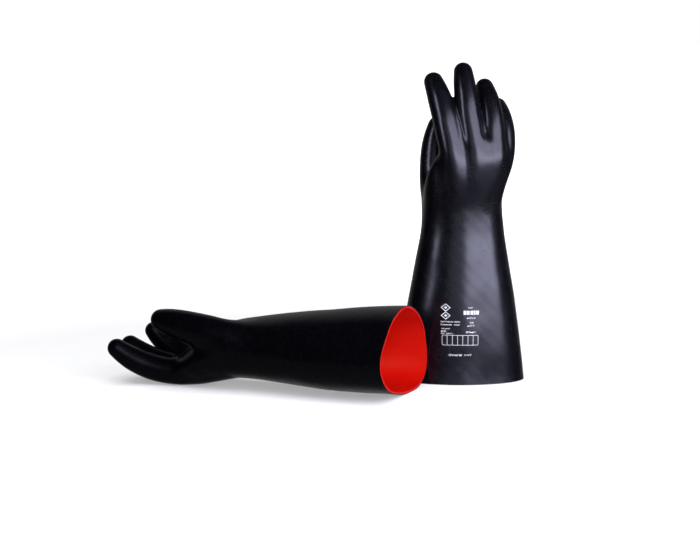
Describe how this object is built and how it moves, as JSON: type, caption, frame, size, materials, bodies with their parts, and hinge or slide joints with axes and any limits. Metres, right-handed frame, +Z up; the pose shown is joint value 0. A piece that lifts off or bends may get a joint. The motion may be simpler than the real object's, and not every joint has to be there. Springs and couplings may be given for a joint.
{
  "type": "electrical insulating gloves",
  "caption": "Pair of long insulating rubber gauntlets, black outside and red inside, one standing on its cuff and one lying on its back.",
  "frame": {"origin": "bottom centre of the pair's bounding box, on the surface the gloves rest on", "axes": "+X along the lying glove from its fingers to its cuff mouth, +Y from the lying glove to the standing one, +Z up. The picture's camera is at azimuth 22 degrees, elevation 7 degrees"},
  "size_m": [0.4714, 0.2744, 0.3951],
  "materials": {
    "black_rubber": "satin",
    "red_rubber": "satin",
    "white_ink": "matt"
  },
  "bodies": {
    "right_glove": {"right_glove_outer_layer": "black_rubber", "right_glove_inner_layer": "red_rubber", "right_glove_printed_emblem": "white_ink", "right_glove_printed_date_grid": "white_ink", "right_glove_printed_caption_left": "white_ink", "right_glove_printed_caption_right": "white_ink", "right_glove_printed_footer_line": "white_ink"},
    "left_glove": {"left_glove_outer_layer": "black_rubber", "left_glove_inner_layer": "red_rubber", "left_glove_printed_emblem": "white_ink", "left_glove_printed_date_grid": "white_ink", "left_glove_printed_caption_left": "white_ink", "left_glove_printed_caption_right": "white_ink", "left_glove_printed_footer_line": "white_ink"}
  },
  "joints": [
    {"name": "left_glove_lift", "type": "slide", "parent": "right_glove", "child": "left_glove", "axis": [0, 0, 1], "range_m": [0, 0.42]}
  ]
}
